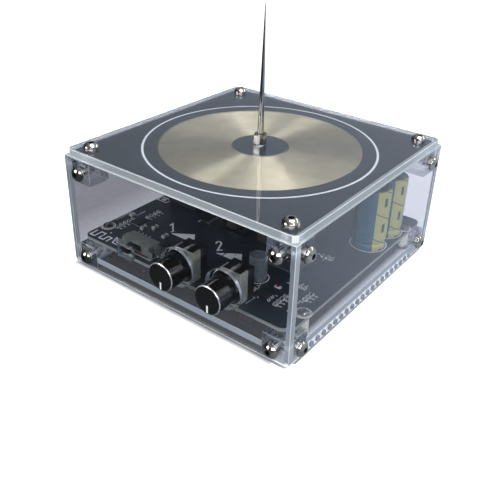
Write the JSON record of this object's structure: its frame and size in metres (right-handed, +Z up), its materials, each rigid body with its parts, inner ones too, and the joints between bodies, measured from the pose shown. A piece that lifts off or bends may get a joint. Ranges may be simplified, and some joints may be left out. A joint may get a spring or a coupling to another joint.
{
  "type": "desktop resonant transformer",
  "caption": "Desktop resonant transformer with a flat printed coil and discharge needle over a driver board, in a clear acrylic case with two knobs",
  "frame": {"origin": "middle of the object's extents at the level of the table the case stands on", "axes": "+Z up, -Y towards the viewer of the knobs, +X to the right along the front panel"},
  "size_m": [0.1284, 0.1354, 0.121],
  "materials": {
    "clear_acrylic": "polished",
    "polished_steel": "polished",
    "nickel_plate": "satin",
    "brass_post": "satin",
    "board_laminate": "solder mask",
    "plated_track": "fine track",
    "bare_copper": "track",
    "nylon": "moulded",
    "black_gloss": "moulded",
    "black_moulding": "moulded",
    "capacitor_sleeve": "shrunk sleeve",
    "dark_sleeve": "shrunk sleeve",
    "film_box": "moulded",
    "anodised": "anodised",
    "ceramic": "fired",
    "red_lens": "lens",
    "paper_laminate": "pressed"
  },
  "bodies": {
    "case": {"top_plate": "clear_acrylic", "front_panel": "clear_acrylic", "back_panel": "clear_acrylic", "left_panel": "clear_acrylic", "right_panel": "clear_acrylic", "floor_plate": "clear_acrylic", "upper_corner_blocks": "clear_acrylic", "lower_corner_blocks": "clear_acrylic", "top_screws": "polished_steel", "front_screws": "polished_steel", "back_screws": "polished_steel", "left_screws": "polished_steel", "right_screws": "polished_steel", "coil_board": "board_laminate", "secondary_coil": "plated_track", "primary_coil": "bare_copper", "feed_posts": "brass_post", "needle_stud": "brass_post", "needle_nut": "polished_steel", "discharge_needle": "polished_steel", "driver_board": "board_laminate", "board_standoffs": "nylon", "board_screws": "polished_steel", "floor_screws": "polished_steel", "supply_capacitor_front": "capacitor_sleeve", "supply_capacitor_back": "capacitor_sleeve", "small_capacitor": "dark_sleeve", "film_capacitors": "film_box", "filter_choke": "black_moulding", "gate_transformer": "black_moulding", "heat_sink": "anodised", "power_transistors": "black_moulding", "transistor_screws": "polished_steel", "driver_chips": "black_moulding", "radio_chip": "black_moulding", "surface_parts": "ceramic", "power_led": "red_lens", "supply_socket": "black_moulding", "socket_pin": "nickel_plate", "potentiometer_1_cover": "nickel_plate", "potentiometer_1_body": "black_moulding", "potentiometer_2_cover": "nickel_plate", "potentiometer_2_body": "black_moulding", "switch_base": "paper_laminate", "switch_cover": "nickel_plate"},
    "knob_1": {"potentiometer_1_shaft": "nickel_plate", "knob_1": "black_gloss"},
    "knob_2": {"potentiometer_2_shaft": "nickel_plate", "knob_2": "black_gloss"},
    "switch_lever": {"switch_lever": "black_moulding"}
  },
  "joints": [
    {"name": "knob_1_turn", "type": "hinge", "parent": "case", "child": "knob_1", "pos_m": [0.0039, -0.0615, 0.0233], "axis": [0, 1, 0], "range_deg": [0, 300]},
    {"name": "knob_2_turn", "type": "hinge", "parent": "case", "child": "knob_2", "pos_m": [0.0289, -0.0615, 0.0233], "axis": [0, 1, 0], "range_deg": [0, 300]},
    {"name": "switch_slide", "type": "slide", "parent": "case", "child": "switch_lever", "axis": [1, 0, 0], "range_m": [0, 0.003]}
  ]
}
